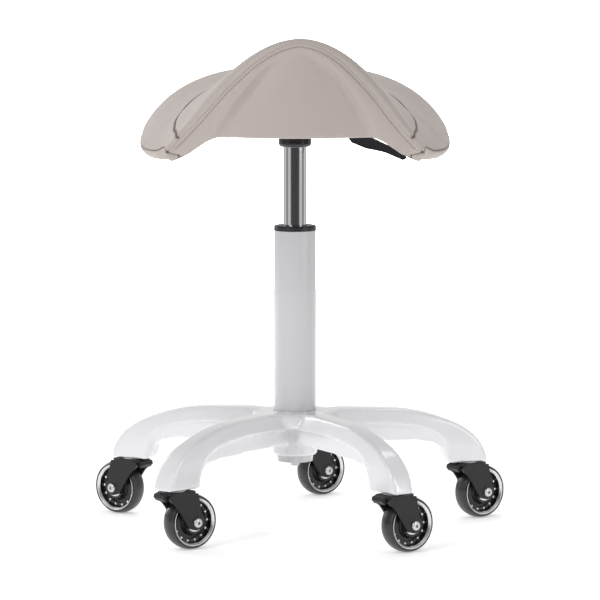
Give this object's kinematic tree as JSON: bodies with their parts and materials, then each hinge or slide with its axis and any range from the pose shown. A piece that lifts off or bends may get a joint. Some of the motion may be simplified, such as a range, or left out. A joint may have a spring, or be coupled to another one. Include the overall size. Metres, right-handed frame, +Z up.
{
  "type": "saddle stool",
  "caption": "Height-adjustable saddle stool: sewn saddle seat on a gas lift with a release lever, above a white star base on single-wheel swivel casters.",
  "frame": {"origin": "on the floor, on the column's axis", "axes": "+Z up along the column, -Y towards the seat's raised front (pommel), +X towards the lever"},
  "size_m": [0.5006, 0.4622, 0.5909],
  "materials": {
    "white_enamel": "glossy",
    "chrome": "polished",
    "black_enamel": "satin",
    "fork_enamel": "satin",
    "black_plastic": "matte",
    "wheel_plastic": "glossy",
    "grey_plastic": "matte",
    "steel": "zinc plated",
    "bearing_steel": "ground",
    "trim_chrome": "polished",
    "rubber": "matte",
    "tyre": "glossy polyurethane",
    "plywood": "sanded",
    "foam": "cut foam",
    "dust_cloth": "non-woven",
    "upholstery": "fine-grained artificial leather"
  },
  "bodies": {
    "base": {"base_star": "white_enamel", "stem_sockets": "steel", "caster_stems": "steel", "swivel_races": "grey_plastic", "column_tube": "white_enamel", "column_cap_ring": "black_plastic", "guide_bush": "grey_plastic", "thrust_washer_lower": "steel", "thrust_bearing": "steel"},
    "rod": {"piston_rod": "steel", "piston": "steel", "thrust_washer_upper": "steel", "buffer_ring": "rubber", "rod_clip": "steel"},
    "seat": {"gas_cylinder": "chrome", "cylinder_end_plug": "steel", "valve_body": "steel", "mount_plate": "black_enamel", "lever_pivot_pin": "steel", "plate_bolts": "steel", "tee_nuts": "steel", "seat_board": "plywood", "seat_foam": "foam", "underside_cloth": "dust_cloth", "front_panel": "upholstery", "side_band": "upholstery", "top_panel": "upholstery"},
    "lever": {"lever_arm": "steel", "lever_handle": "black_plastic"},
    "valve_pin": {"release_pin": "steel"},
    "fork_1": {"caster_fork_1": "fork_enamel", "axle_set_1": "steel"},
    "wheel_1": {"wheel_core_1": "wheel_plastic", "wheel_tyre_1": "tyre", "wheel_bearings_1": "bearing_steel", "rim_rings_1": "trim_chrome"},
    "fork_2": {"caster_fork_2": "fork_enamel", "axle_set_2": "steel"},
    "wheel_2": {"wheel_core_2": "wheel_plastic", "wheel_tyre_2": "tyre", "wheel_bearings_2": "bearing_steel", "rim_rings_2": "trim_chrome"},
    "fork_3": {"caster_fork_3": "fork_enamel", "axle_set_3": "steel"},
    "wheel_3": {"wheel_core_3": "wheel_plastic", "wheel_tyre_3": "tyre", "wheel_bearings_3": "bearing_steel", "rim_rings_3": "trim_chrome"},
    "fork_4": {"caster_fork_4": "fork_enamel", "axle_set_4": "steel"},
    "wheel_4": {"wheel_core_4": "wheel_plastic", "wheel_tyre_4": "tyre", "wheel_bearings_4": "bearing_steel", "rim_rings_4": "trim_chrome"},
    "fork_5": {"caster_fork_5": "fork_enamel", "axle_set_5": "steel"},
    "wheel_5": {"wheel_core_5": "wheel_plastic", "wheel_tyre_5": "tyre", "wheel_bearings_5": "bearing_steel", "rim_rings_5": "trim_chrome"}
  },
  "joints": [
    {"name": "seat_swivel", "type": "hinge", "parent": "base", "child": "rod", "pos_m": [0, 0, 0.087], "axis": [0, 0, 1], "continuous": true},
    {"name": "seat_height", "type": "slide", "parent": "rod", "child": "seat", "axis": [0, 0, 1], "range_m": [-0.088, 0.042]},
    {"name": "lever_lift", "type": "hinge", "parent": "seat", "child": "lever", "pos_m": [0.027, 0, 0.4865], "axis": [0, -1, 0], "range_deg": [0, 5], "stiffness_Nm_per_rad": 1.5, "springref_deg": -3.44},
    {"name": "valve_press", "type": "slide", "parent": "seat", "child": "valve_pin", "axis": [0, 0, -1], "range_m": [0, 0.0024]},
    {"name": "caster_swivel_1", "type": "hinge", "parent": "base", "child": "fork_1", "pos_m": [0.01608, 0.2139, 0.068], "axis": [0, 0, 1], "continuous": true},
    {"name": "wheel_spin_1", "type": "hinge", "parent": "fork_1", "child": "wheel_1", "pos_m": [0.03285, 0.22653, 0.0325], "axis": [-0.6018, 0.7986, 0], "continuous": true},
    {"name": "caster_swivel_2", "type": "hinge", "parent": "base", "child": "fork_2", "pos_m": [-0.19846, 0.08139, 0.068], "axis": [0, 0, 1], "continuous": true},
    {"name": "wheel_spin_2", "type": "hinge", "parent": "fork_2", "child": "wheel_2", "pos_m": [-0.21523, 0.09403, 0.0325], "axis": [-0.6018, -0.7986, 0], "continuous": true},
    {"name": "caster_swivel_3", "type": "hinge", "parent": "base", "child": "fork_3", "pos_m": [-0.13874, -0.16359, 0.068], "axis": [0, 0, 1], "continuous": true},
    {"name": "wheel_spin_3", "type": "hinge", "parent": "fork_3", "child": "wheel_3", "pos_m": [-0.12197, -0.15095, 0.0325], "axis": [-0.6018, 0.7986, 0], "continuous": true},
    {"name": "caster_swivel_4", "type": "hinge", "parent": "base", "child": "fork_4", "pos_m": [0.11271, -0.1825, 0.068], "axis": [0, 0, 1], "continuous": true},
    {"name": "wheel_spin_4", "type": "hinge", "parent": "fork_4", "child": "wheel_4", "pos_m": [0.12948, -0.16986, 0.0325], "axis": [-0.6018, 0.7986, 0], "continuous": true},
    {"name": "caster_swivel_5", "type": "hinge", "parent": "base", "child": "fork_5", "pos_m": [0.2084, 0.0508, 0.068], "axis": [0, 0, 1], "continuous": true},
    {"name": "wheel_spin_5", "type": "hinge", "parent": "fork_5", "child": "wheel_5", "pos_m": [0.22517, 0.06344, 0.0325], "axis": [-0.6018, 0.7986, 0], "continuous": true}
  ],
  "couplings": [
    {"joint": "valve_press", "follows": "lever_lift", "m_per_rad": 0.027}
  ]
}
